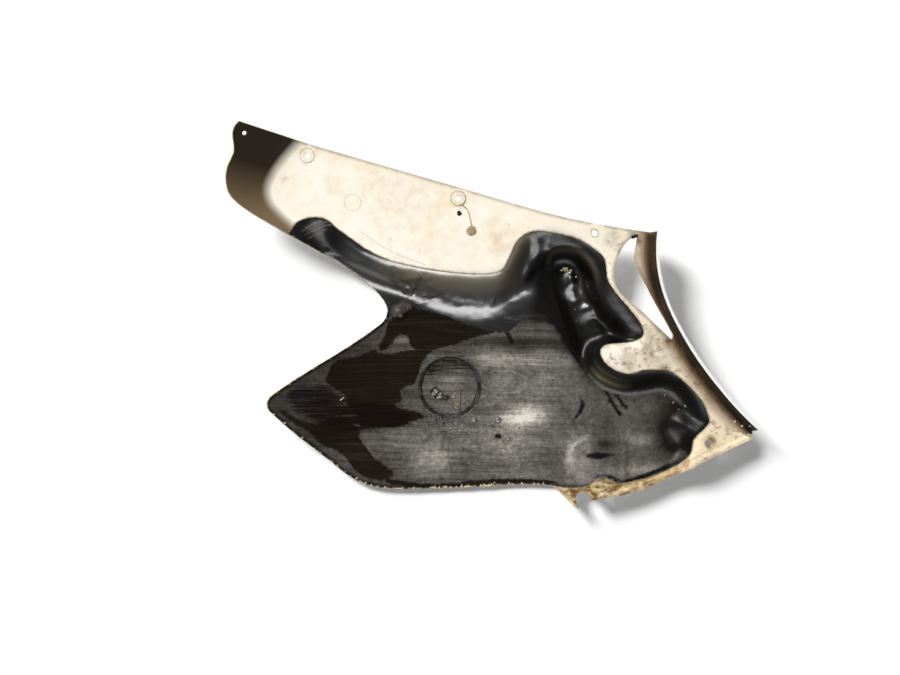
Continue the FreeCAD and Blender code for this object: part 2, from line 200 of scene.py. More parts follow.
# Small marks: blisters of paint, resin crumbs in the front corner, scraps and specks in the pocket,
# rubble at the disc, spots of paint, and the torn and lifted scraps in the disc
BLISTERS = [(177.7, -241.4), (204.8, -233.8), (221.8, -250.9), (125.5, -220.8), (131.6, -225.2),
            (124.2, -224.8)]
SMALL_BLISTERS = [(157.2, -250.9), (165.1, -257.2), (215.5, -250.2), (225.5, -251), (231, -236.1),
                  (238.5, -236.4), (243.5, -232.5), (250.7, -228), (201.4, -251.8), (154.3, -257.8),
                  (372, -150), (384, -152), (396, -158), (404, -164), (410, -158)]
CRUMBS = [(492.1, -153.6), (493.6, -164), (487.8, -170), (472, -168.8), (466.4, -175.2), (460.6, -172),
          (477.5, -162.5), (452, -170), (458, -165), (483, -160), (468, -160), (474, -176), (462, -182)]
POCKET_SCRAPS = [(229.2, -44.1), (231.2, -41.5), (232.6, -43.4), (234, -40.6), (235.6, -42.7),
                 (238.6, -44.3), (239.4, -41.4), (247.2, -47.5)]
POCKET_SPECKS = [(261.8, -96.9), (279.3, -123), (286.1, -113.4), (262.5, -55), (274.5, -65.9), (257, -84)]
RUBBLE = [(135.1, -254.6), (139.8, -249.7), (147.2, -250), (151.9, -245), (156.7, -240.5),
          (143.8, -255.4), (133, -251.6), (127.9, -250.6), (149, -234), (153, -232), (155.5, -236)]
PAINT_SPOTS = [(95.9, -17.4), (95.4, -15.6), (96.8, -16.2), (296.5, 13.6), (298.5, 15), (294.8, 12.2)]
TORN_PATCH = [(152.8, -210), (158.6, -234.5), (151.9, -235.5), (141.4, -229.7), (135, -223.5),
              (142.8, -222), (148.7, -216.7)]
LIFTED_COAT = [(118, -222), (124, -215), (129, -218), (136, -223), (143, -221.5), (148.5, -215.5),
               (150.5, -219.5), (144, -225.5), (137, -228.5), (129, -229.5), (121, -227)]
# Worn line along the fold of the bottom flange
FLANGE_FOLD = [(372, -267), (394.1, -251), (422.9, -229.5), (452.3, -207), (473.9, -189), (488, -177)]
# Strokes that the brush left where the coat starts on the arm
BRUSH_LINES = [[(-72.8, -85.5), (-65.4, -76.4), (-55.1, -68.5), (-43.6, -66)],
               [(-68.4, -88.5), (-58.8, -79), (-48.3, -70.9), (-41, -68.4)],
               [(-64.2, -90.9), (-54.4, -82.2), (-44.4, -74)],
               [(-69.1, -80), (-62, -71.7), (-54.2, -66.5)]]
# Pale lines along the cut edges: the bare moulding of the edge, made brighter as a painted highlight
# where it catches the light
PALE_EDGE_LINES = [[(-57.4, -281), (-54.5, -287.5), (-50, -293.9), (-38.7, -300.8), (-30, -304)],
               [(-64, -93.5), (-47.5, -99.4), (-20.7, -107.2), (6.8, -116.5), (28, -124.7)],
               [(345, -292), (366, -277), (386, -261), (406, -245), (424, -229), (442, -212), (461, -196),
                (480, -180)]]
# A sliver of resin on the floor, and the dab and run of glue on the panel
SLIVER = [(20.4, -261.9), (24, -257.3)]
GLUE_DAB = [(114.7, -31.8)]
GLUE_RUN = [(93.6, -5.6), (104, -8.6), (109, -17.9), (113.5, -26)]
# Edges that are chipped down to the moulding, with the number of chips
CHIPPED_EDGES = [([(-57.4, -281), (-54.5, -287.5), (-47, -293.9), (-38.5, -300.1)], 70),
                 ([(-38.1, -300.5), (-19.9, -308), (7.6, -322), (40.2, -334.8), (66.5, -342),
                   (86.8, -345)], 260),
                 ([(87.4, -346), (119.2, -339), (154.6, -326.5), (199.5, -313), (241.7, -299),
                   (275.5, -289.5)], 330),
                 ([(168.3, -315.9), (187.9, -307.9), (205, -307.9), (220.5, -302.3),
                   (241.1, -297.7)], 170)]

# Direction of the brush over the belly floor, from the line of the fixings
BRUSH_TURN = math.radians(15.8)
DISC_CENTRE = (140, -212)
SCORED_RING_RADIUS = 34.9
PAN_MIDDLE = (190, -150)
BELLY_MIDDLE = (200, -160)

# Copy of the moulding: longest edge on the engine side, and how near its loose corners are merged, in metres
LONGEST_EDGE = 3.2 * MM
MERGE_GAP = 2e-6
# Sides of the sheet are told apart by the fold between them in radians, by the way they look,
# by area in square metres, and by where the front wall and the disc are
LEAST_FOLD = 0.5
LEVEL_LOOK = 0.6
SLANTED_LOOK = 0.15
WALL_AREA = 1.5e-3
CROWN_AREA = 3e-3
FRONT_WALL_REAR = 300
FRONT_WALL_FOOT = -200
DISC_REACH = 40
ENGINE_SIDE, PAINTED_SIDE, CUT_EDGE = 0, 1, 2
# Distance in millimetres that stands for nowhere near an edge
FAR_OFF = 50.0
# Smoothing of the facets: share of each pull towards the neighbours, and of the push back out
PULL_IN = 0.5
PUSH_OUT = -0.52
# Heights in metres at which the edge of the sheet is looked for: all of them, and that of the bottom edge
EDGE_HEIGHTS = np.linspace(-0.045, 0.032, 16)
BOTTOM_EDGE_HEIGHT = -0.04


def linear(code):
    parts = [int(code[i:i + 2], 16) / 255 for i in (1, 3, 5)]
    return [c / 12.92 if c <= 0.04045 else ((c + 0.055) / 1.055) ** 2.4 for c in parts] + [1.0]


def add(tree, kind, sockets=(), **settings):
    made = tree.nodes.new(kind)
    for name, value in settings.items():
        setattr(made, name, value)
    for key, value in dict(sockets).items():
        if isinstance(value, bpy.types.NodeSocket):
            tree.links.new(value, made.inputs[key])
        else:
            made.inputs[key].default_value = value
    return made


def material(name):
    made = bpy.data.materials.new(name)
    made.use_nodes = True
    made.node_tree.nodes.clear()
    return made, made.node_tree


def softened(line, rounds=2, closed=False):
    points = np.array(line, float)
    for _ in range(rounds):
        after = np.roll(points, -1, axis=0) if closed else points[1:]
        before = points if closed else points[:-1]
        cut = np.stack([0.75 * before + 0.25 * after, 0.25 * before + 0.75 * after], axis=1).reshape(-1, 2)
        points = cut if closed else np.vstack([points[:1], cut, points[-1:]])
    return points


def line_gap(spots, line):
    # Distance from each spot to a line in plan, positive on the line's right hand.
    best = np.full(len(spots), np.inf)
    sign = np.ones(len(spots))
    for a, b in zip(line[:-1], line[1:]):
        run = b - a
        off = spots - a
        share = np.clip(off @ run / (run @ run), 0, 1)
        gap = np.hypot(*(off - share[:, None] * run).T)
        nearer = gap < best
        best[nearer] = gap[nearer]
        sign[nearer] = np.where(run[0] * off[nearer, 1] - run[1] * off[nearer, 0] < 0, 1.0, -1.0)
    return best * sign


def patch_gap(spots, patch):
    # Distance from each spot to the edge of a closed patch, positive inside it.
    ring = np.vstack([patch, patch[:1]])
    gap = np.abs(line_gap(spots, ring))
    inside = np.zeros(len(spots), bool)
    for (ax, ay), (bx, by) in zip(ring[:-1], ring[1:]):
        spans = (ay > spots[:, 1]) != (by > spots[:, 1])
        if ay != by:
            inside ^= spans & (spots[:, 0] < (bx - ax) * (spots[:, 1] - ay) / (by - ay) + ax)
    return np.where(inside, gap, -gap)


def deepest(spots, patches):
    return np.max([patch_gap(spots, softened(patch, 1, closed=True)) for patch in patches], axis=0)


def ramp(values, start, end):
    # Share that goes from 0 at the start to 1 at the end.
    return np.clip((values - start) / (end - start), 0, 1)


def corners_of(mesh):
    spots = np.zeros(len(mesh.vertices) * 3)
    mesh.vertices.foreach_get("co", spots)
    return spots.reshape(-1, 3)


def edges_of(mesh):
    pairs = np.zeros(len(mesh.edges) * 2, int)
    mesh.edges.foreach_get("vertices", pairs)
    return pairs.reshape(-1, 2)


def neighbour_mean(values, pairs):
    total = np.zeros_like(values)
    np.add.at(total, pairs[:, 0], values[pairs[:, 1]])
    np.add.at(total, pairs[:, 1], values[pairs[:, 0]])
    count = np.maximum(np.bincount(pairs.ravel(), minlength=len(values)), 1)
    return (total.T / count).T


def sort_faces(bm):
    # Regions of faces that run smoothly into each other, told apart by the way they look.
    for edge in bm.edges:
        edge.smooth = len(edge.link_faces) == 2 and edge.calc_face_angle() < LEAST_FOLD
    seen = set()
    for start in bm.faces:
        if start.index in seen:
            continue
        region, queue = [], [start]
        seen.add(start.index)
        while queue:
            face = queue.pop()
            region.append(face)
            for edge in face.edges:
                if edge.smooth:
                    for other in edge.link_faces:
                        if other.index not in seen:
                            seen.add(other.index)
                            queue.append(other)
        area = sum(face.calc_area() for face in region)
        facing = sum((face.normal * face.calc_area() for face in region), start.normal * 0) / area
        middle = sum((face.calc_center_median() * face.calc_area() for face in region), facing * 0) / area
        outward = (middle.x - PAN_MIDDLE[0] * MM) * facing.x + (middle.y - PAN_MIDDLE[1] * MM) * facing.y
        on_front_wall = (middle.x > FRONT_WALL_REAR * MM and middle.y > FRONT_WALL_FOOT * MM
                         and middle.z > MM)
        kind = CUT_EDGE
        if facing.z > LEVEL_LOOK:
            kind = PAINTED_SIDE if on_front_wall and area < CROWN_AREA else ENGINE_SIDE
        elif facing.z < -LEVEL_LOOK:
            kind = PAINTED_SIDE
        elif area > WALL_AREA and abs(facing.z) > SLANTED_LOOK:
            kind = PAINTED_SIDE if outward > 0 else ENGINE_SIDE
        elif math.hypot(middle.x - DISC_CENTRE[0] * MM, middle.y - DISC_CENTRE[1] * MM) < DISC_REACH * MM:
            kind = ENGINE_SIDE
        for face in region:
            face.material_index = kind


def refine(bm, limit):
    for _ in range(5):
        long_edges = [e for e in bm.edges if e.calc_length() > limit
                      and any(f.material_index == ENGINE_SIDE for f in e.link_faces)]
        if not long_edges:
            break
        bmesh.ops.subdivide_edges(bm, edges=long_edges, cuts=1)
        bmesh.ops.triangulate(bm, faces=[f for f in bm.faces if len(f.verts) > 3])


def ease_facets(mesh, rounds=24):
    # Smooths the facets and then swells the skin back, so that it keeps its size.
    spots = corners_of(mesh)
    pairs = edges_of(mesh)
    sharp = np.array([e.use_edge_sharp for e in mesh.edges])
    held = np.zeros(len(spots), bool)
    held[pairs[sharp].ravel()] = True
    for i in range(rounds):
        step = neighbour_mean(spots, pairs) - spots
        step[held] = 0
        spots = spots + step * (PULL_IN if i % 2 == 0 else PUSH_OUT)
    mesh.vertices.foreach_set("co", spots.ravel())
    mesh.update()


def pool_coat(mesh):
    # The wet coat rounds the foot of the step and stands up in ridges where it gathered.
    spots = corners_of(mesh)
    pairs = edges_of(mesh)
    plan = spots[:, :2] / MM
    coated = np.zeros(len(spots), bool)
    other = np.zeros(len(spots), bool)
    for face in mesh.polygons:
        (coated if face.material_index == ENGINE_SIDE else other)[list(face.vertices)] = True
    free = coated & ~other
    share = np.exp(-(line_gap(plan, softened(FOOT_LINE)) / FILLET_REACH) ** 2) * free
    for _ in range(50):
        spots[:, 2] += 0.6 * share * (neighbour_mean(spots[:, 2], pairs) - spots[:, 2])
    for path, half_width, height in RIDGES:
        spots[:, 2] += height * MM * free * np.exp(-(line_gap(plan, softened(path)) / half_width) ** 2)
    mesh.vertices.foreach_set("co", spots.ravel())
    mesh.update()


def moulding_copy():
    bm = bmesh.new()
    bm.from_mesh(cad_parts["belly_pan"].data)
    bmesh.ops.remove_doubles(bm, verts=bm.verts, dist=MERGE_GAP)
    bm.faces.index_update()
    sort_faces(bm)
    refine(bm, LONGEST_EDGE)
    mesh = bpy.data.meshes.new("belly_pan_moulding")
    bm.to_mesh(mesh)
    bm.free()
    ease_facets(mesh)
    pool_coat(mesh)
    mesh.shade_smooth()
    return mesh


def edge_of_sheet(mesh):
    # Corners of the cut edges of the sheet, for finding the nearest one.
    on_edge = set()
    for face in mesh.polygons:
        if face.material_index == CUT_EDGE:
            on_edge.update(face.vertices)
    tree = KDTree(len(on_edge))
    for i in sorted(on_edge):
        tree.insert(mesh.vertices[i].co, i)
    tree.balance()
    return tree


def lay_finish(mesh, sheet_edge):
    # Each attribute is a distance inside an edge, in millimetres, or a share of a finish.
    spots = corners_of(mesh)
    plan = spots[:, :2] / MM
    x, y = plan.T
    c, s = math.cos(BRUSH_TURN), math.sin(BRUSH_TURN)
    coat = patch_gap(plan, np.vstack([softened(COAT_LINE), COAT_BEYOND]))
    # The thick coat comes further down under the panel
    thick = 14 * ramp(x, 60, 80) * ramp(x, 200, 188) - line_gap(plan, softened(FLOOR_LINE))
    oil = deepest(plan, OIL_PATCHES)
    for run, half_width in DRIPS:
        oil = np.maximum(oil, half_width - np.abs(line_gap(plan, softened(run))))
    soot_and_shade = deepest(plan, SHADE_AND_SOOT_PATCHES)
    for run, half_width in DARK_RUNS:
        soot_and_shade = np.where(coat > 0, np.maximum(soot_and_shade, half_width - np.abs(line_gap(plan, softened(run)))), soot_and_shade)
    # The film is faint at the tip and stronger over the belly; beside the thick coat at the front it is taken
    # away as painted shade on the slope down to the thick coat
    film_and_sheen = 0.075 + 0.11 * ramp(x, 10, 140)
    for px, py, along, across, strength in FILM_AND_SHEEN:
        far = np.hypot(((x - px) * c + (y - py) * s) / along, ((y - py) * c - (x - px) * s) / across)
        film_and_sheen += strength * np.exp(-1.6 * far ** 2)
    film_and_sheen *= 0.6 * (1 - 0.75 * np.exp(-np.maximum(-thick, 0) / 7) * ramp(x, 190, 210))
    stain_and_shade = np.zeros(len(plan))
    for px, py, radius, strength in STAINS_AND_SHADE:
        stain_and_shade = np.maximum(stain_and_shade, strength * np.clip(1.6 - 0.9 * np.hypot(x - px, y - py) / radius, 0, 1))
    # The moulding shows through the thin coat at the top of the slope under the panel, lightened there as
    # painted sheen on the slope as well; the lines at the foot of the tongue are painted reflections, and on
    # the arch a painted highlight
    thin_coat_and_sheen = 0.9 * np.exp(-np.maximum(coat, 0) / 14) * ramp(coat, 32, 18)
    thin_coat_and_sheen *= ramp(x, 190, 160) * ramp(x, 10, 60) * ramp(y, -150, -130)
    tongue_foot_reflections = ramp(x, 290, 305) * ramp(x, 345, 325) * (y < -125) * ramp(y, -175, -167)
    thin_coat_and_sheen += tongue_foot_reflections * (0.5 * np.exp(-np.abs(coat - 15) / 2.2) + 0.2 * np.exp(-np.abs(coat - 8) / 1.6))
    thin_coat_and_sheen += 0.16 * np.exp(-(line_gap(plan, softened(ARCH_CREST_HIGHLIGHT)) / 3.2) ** 2) * ramp(x, 278, 256)
    # The bare moulding yellows towards the front, along the top edge and on the flange, where the darker tone
    # is partly painted shade on its slope
    grime_and_shade = ramp(x, 265, 415) + 0.3 * ramp(y, -6, 10) + ramp(y, -212, -242)
    flange = ramp(y, -250, -262) * ramp(x, 280, 290)
    # The thick coat is dry with soot at the front, beside the ledge and where it starts on the arm,
    # but not in the pocket
    sooty = ramp(x, 203, 213) + 0.75 * ramp(x, 160, 172) * ramp(y, -80, -66)
    sooty += np.exp(-(np.hypot(x + 48, y + 84) / 32) ** 4)
    sooty = np.clip(sooty, 0, 1) - 0.7 * np.exp(-(np.hypot(x - 255, y + 68) / 24) ** 2)
    rim = np.array([sheet_edge.find(spot)[2] for spot in spots]) / MM
    for px, py in FIXING_HOLES:
        rim = np.where(np.hypot(x - px, y - py) < 11, FAR_OFF, rim)
    along = (x - SWIRL[0]) * c + (y - SWIRL[1]) * s
    across = (y - SWIRL[1]) * c - (x - SWIRL[0]) * s
    turned = np.hypot(np.maximum(along, 0) / SWIRL[2], across / SWIRL[3]) + np.clip((-along - 20) / 30, 0, 2)
    at_rear, behind_pocket = x < -50, x < 250
    marks = {"coat": coat, "thick": thick, "oil": oil, "soot_and_shade": soot_and_shade, "rim": rim, "film_and_sheen": film_and_sheen,
             "turned": turned, "streaky": np.minimum(deepest(plan, STREAKED_OIL), 3),
             "flaky": deepest(plan, [FLAKY_PATCH]),
             "crease": np.where(y > -172, line_gap(plan, softened(FRONT_CREASE)), FAR_OFF),
             "spray": np.where(at_rear, line_gap(plan, softened(SPRAY_LINE)), -FAR_OFF),
             "fade": ramp(y, -25, -75) * at_rear, "thin_coat_and_sheen": np.clip(thin_coat_and_sheen, 0, 1), "sooty": np.clip(sooty, 0, 1),
             "pebbly": np.exp(-np.hypot((x - 178) / 62, (y + 262) / 34) ** 4), "calm": ramp(x, 255, 300),
             "grime_and_shade": np.clip(grime_and_shade, 0, 2), "dirt_and_shade_zone": ramp(x, 250, 290) * (1 - 0.6 * flange),
             "stain_and_shade": np.where(behind_pocket, 0, np.maximum(stain_and_shade, 0.4 * flange)),
             "tint": np.where(behind_pocket, stain_and_shade, 0)}
    for name, values in marks.items():
        mesh.attributes.new(name, "FLOAT", "POINT").data.foreach_set("value", values.astype(np.float32))
    brush = np.stack([x * c + y * s, y * c - x * s, np.zeros(len(x))], axis=1)
    along_brush = mesh.attributes.new("brush", "FLOAT_VECTOR", "POINT")
    along_brush.data.foreach_set("vector", brush.astype(np.float32).ravel())
    return list(marks)


def coat_patterns(tree, place, gap):
    # Brush strokes are 1.3 mm and 6 mm across, run on for tens of millimetres and sway; one turned back.
    brush = add(tree, "ShaderNodeAttribute", attribute_name="brush").outputs["Vector"]
    wander = add(tree, "ShaderNodeTexNoise", {"Vector": place, "Scale": 1 / 0.09,
                                              "Detail": 1.0}).outputs["Color"]
    swayed = add(tree, "ShaderNodeVectorMath", {0: wander, 1: (20, 14, 0), 2: brush},
                 operation="MULTIPLY_ADD").outputs[0]
    hair = add(tree, "ShaderNodeMapping", {"Vector": swayed, "Scale": (1 / 55, 1 / 1.3, 1)}).outputs["Vector"]
    sweep = add(tree, "ShaderNodeMapping", {"Vector": swayed, "Scale": (1 / 110, 1 / 6, 1)}).outputs["Vector"]
    bent = add(tree, "ShaderNodeVectorMath", {0: wander, 1: (0.5, 0.5, 0)},
               operation="DOT_PRODUCT").outputs["Value"]
    bent = add(tree, "ShaderNodeMath", {0: bent, 1: gap["turned"]}).outputs[0]
    round_stroke = add(tree, "ShaderNodeCombineXYZ", {"X": bent}).outputs[0]
    # Patterns: where they lie, scale from their grain in metres, detail, roughness
    noise = {}
    for name, source, scale, detail, rough in (
            ("grit", place, 1 / 0.0012, 3, 0.6), ("ragged", place, 1 / 0.005, 5, 0.65),
            ("mottle", place, 1 / 0.013, 6, 0.62), ("cloud", place, 1 / 0.05, 5, 0.55),
            ("peel", place, 1 / 0.0035, 2, 0.5), ("pebble", place, 1 / 0.0042, 1, 0.4),
            ("stipple", place, 1 / 0.009, 8, 0.72), ("hair", hair, 1.0, 4, 0.6),
            ("sweep", sweep, 1.0, 3, 0.6), ("round", round_stroke, 5.0, 3, 0.55)):
        noise[name] = add(tree, "ShaderNodeTexNoise", {"Vector": source, "Scale": scale, "Detail": detail,
                                                       "Roughness": rough}).outputs["Fac"]
    noise["feather"] = add(tree, "ShaderNodeMix", {0: 0.55, 2: noise["ragged"], 3: noise["hair"]}).outputs[0]
    return noise


def finish_shares(tree, gap, noise):
    mask = {}
    # Edges between finishes: gap in millimetres, pattern that frays it, fraying, softness and shift
    for name, source, fray, reach, soft, shift in (
            ("coat", "coat", "ragged", 2.0, 0.2, 0.0), ("halo", "coat", "ragged", 4.0, 1.4, 1.0),
            ("thick", "thick", "ragged", 10.0, 0.6, 0.0), ("oil", "oil", "feather", 14.0, 0.8, 0.0),
            ("soot_and_shade", "soot_and_shade", "ragged", 5.0, 1.3, 0.0), ("streaky", "streaky", "hair", 40.0, 3.0, 0.0),
            ("spray", "spray", "grit", 3.0, 6.0, 1.0), ("flaky", "flaky", "cloud", 6.0, 3.0, 0.0)):
        frayed = add(tree, "ShaderNodeMath", {0: noise[fray], 1: reach, 2: gap[source]},
                     operation="MULTIPLY_ADD").outputs[0]
        mask[name] = add(tree, "ShaderNodeMapRange", {"Value": frayed, "From Min": reach / 2 - soft - shift,
                                                      "From Max": reach / 2 + soft - shift}).outputs[0]
    # Shares that follow a pattern or a gap: source, from, to, strength
    # Of these, wall and brown darken the moulding towards the crease at the foot of the front wall: painted
    # shade
    for name, source, low, high, most in (
            ("smudge", noise["mottle"], 0.50, 0.80, 0.34), ("haze", noise["cloud"], 0.42, 0.72, 0.45),
            ("blot", noise["stipple"], 0.54, 0.66, 0.85), ("speck", noise["grit"], 0.71, 0.76, 0.6),
            ("wall", gap["crease"], 8.0, 2.5, 0.97), ("brown", gap["crease"], 19.0, 6.5, 0.85),
            ("trim", gap["rim"], 4.5, 1.0, 1.0), ("chip", gap["rim"], 2.0, 0.4, 1.0),
            ("dark_rim", gap["rim"], 5.0, 2.0, 0.9), ("fleck", noise["ragged"], 0.54, 0.62, 1.0),
            ("flake", noise["sweep"], 0.48, 0.56, 0.9), ("round_share", gap["turned"], 1.1, 0.75, 0.9),
            ("worn", noise["cloud"], 0.42, 0.6, 1.0), ("spray_low", gap["fade"], 0.0, 1.0, 0.75),
            ("gold", gap["grime_and_shade"], 0.0, 2.0, 0.84), ("blotch", noise["mottle"], 0.36, 0.56, 1.0)):
        mask[name] = add(tree, "ShaderNodeMapRange", {"Value": source, "From Min": low, "From Max": high,
                                                      "To Max": most}).outputs[0]
    # Shares that hold only where another one does
    for name, first, second in (
            ("dirt", mask["blot"], gap["dirt_and_shade_zone"]), ("tan", mask["brown"], gap["dirt_and_shade_zone"]),
            ("chipped", mask["chip"], mask["fleck"]), ("line", mask["trim"], noise["mottle"]),
            ("stained_and_shaded", gap["stain_and_shade"], mask["blotch"]), ("tinted", gap["tint"], mask["blotch"]),
            # the overspray is lighter towards its lower end
            ("flaked", mask["flaky"], mask["flake"]), ("spray_lighter_low", mask["spray"], mask["spray_low"]),
            ("dry", gap["sooty"], mask["thick"])):
        mask[name] = add(tree, "ShaderNodeMath", {0: first, 1: second}, operation="MULTIPLY").outputs[0]
    return mask


def brush_strokes(tree, gap, noise, mask):
    # Straight strokes, rubbed away in places, with one round stroke beside the disc.
    straight = add(tree, "ShaderNodeMath", {0: noise["hair"], 1: noise["sweep"]},
                   operation="MULTIPLY").outputs[0]
    turned = add(tree, "ShaderNodeMapRange", {"Value": noise["round"], "From Min": 0.36, "From Max": 0.64,
                                              "To Min": 0.19, "To Max": 0.33}).outputs[0]
    worn = add(tree, "ShaderNodeMapRange", {"Value": noise["mottle"], "To Min": 0.18,
                                            "To Max": 0.34}).outputs[0]
    rubbed = add(tree, "ShaderNodeMath", {0: gap["pebbly"], 1: 0.6, 2: 0.3},
                 operation="MULTIPLY_ADD").outputs[0]
    rubbed = add(tree, "ShaderNodeMath", {0: mask["worn"], 1: rubbed}, operation="MULTIPLY").outputs[0]
    rubbed = add(tree, "ShaderNodeMath", {0: gap["calm"], 1: 0.75, 2: rubbed}, operation="MULTIPLY_ADD",
                 use_clamp=True).outputs[0]
    strokes = add(tree, "ShaderNodeMix", {0: rubbed, 2: straight, 3: worn}).outputs[0]
    return add(tree, "ShaderNodeMix", {0: mask["round_share"], 2: strokes, 3: turned}).outputs[0]


def film_and_sheen_share(tree, gap, noise, strokes, swelling):
    # How much grey film dulls the floor, with painted sheen where it is strong: its own strength,
    # broken up by strokes, clouds, grain and pebbles.
    grey_and_sheen = add(tree, "ShaderNodeMapRange", {"Value": strokes, "From Min": 0.15, "From Max": 0.36,
                                            "To Min": 0.58, "To Max": 1.42}).outputs[0]
    for name, spread in (("cloud", 0.4), ("peel", 0.25), ("stipple", 0.45), ("grit", 0.25)):
        grain = add(tree, "ShaderNodeMapRange", {"Value": noise[name], "From Min": 0.3, "From Max": 0.7,
                                                 "To Min": 1 - spread, "To Max": 1 + spread}).outputs[0]
        grey_and_sheen = add(tree, "ShaderNodeMath", {0: grey_and_sheen, 1: grain}, operation="MULTIPLY").outputs[0]
    paler = add(tree, "ShaderNodeMath", {0: swelling, 1: 0.45, 2: 1.0}, operation="MULTIPLY_ADD").outputs[0]
    grey_and_sheen = add(tree, "ShaderNodeMath", {0: grey_and_sheen, 1: paler}, operation="MULTIPLY").outputs[0]
    return add(tree, "ShaderNodeMath", {0: gap["film_and_sheen"], 1: grey_and_sheen}, operation="MULTIPLY",
               use_clamp=True).outputs[0]


def scored_ring(tree, place, noise):
    # Patchy groove round the disc in the belly, 2.4 mm wide to each side; its black is painted shade in the
    # groove.
    flat = add(tree, "ShaderNodeVectorMath", {0: place, 1: (1, 1, 0)}, operation="MULTIPLY").outputs[0]
    from_disc = add(tree, "ShaderNodeVectorMath", {0: flat, 1: (DISC_CENTRE[0] * MM, DISC_CENTRE[1] * MM, 0)},
                    operation="DISTANCE").outputs["Value"]
    off_ring = add(tree, "ShaderNodeMath", {0: from_disc, 1: SCORED_RING_RADIUS * MM},
                   operation="SUBTRACT").outputs[0]
    off_ring = add(tree, "ShaderNodeMath", {0: off_ring}, operation="ABSOLUTE").outputs[0]
    groove = add(tree, "ShaderNodeMapRange", {"Value": off_ring, "From Min": 2.4 * MM, "From Max": 1.1 * MM,
                                              "To Max": 0.92}).outputs[0]
    patchy = add(tree, "ShaderNodeMapRange", {"Value": noise["mottle"], "From Min": 0.36, "From Max": 0.56,
                                              "To Min": 0.3}).outputs[0]
    return add(tree, "ShaderNodeMath", {0: groove, 1: patchy}, operation="MULTIPLY").outputs[0]


def laid_over(tree, colour, rough, layers):
    # Finishes laid over each other, each with its share, colour and roughness.
    for share, tone, shine in layers:
        colour = add(tree, "ShaderNodeMix", {0: share, 6: colour, 7: linear(tone)},
                     data_type="RGBA").outputs[2]
        rough = add(tree, "ShaderNodeMix", {0: share, 2: rough, 3: shine}).outputs[0]
    return colour, rough


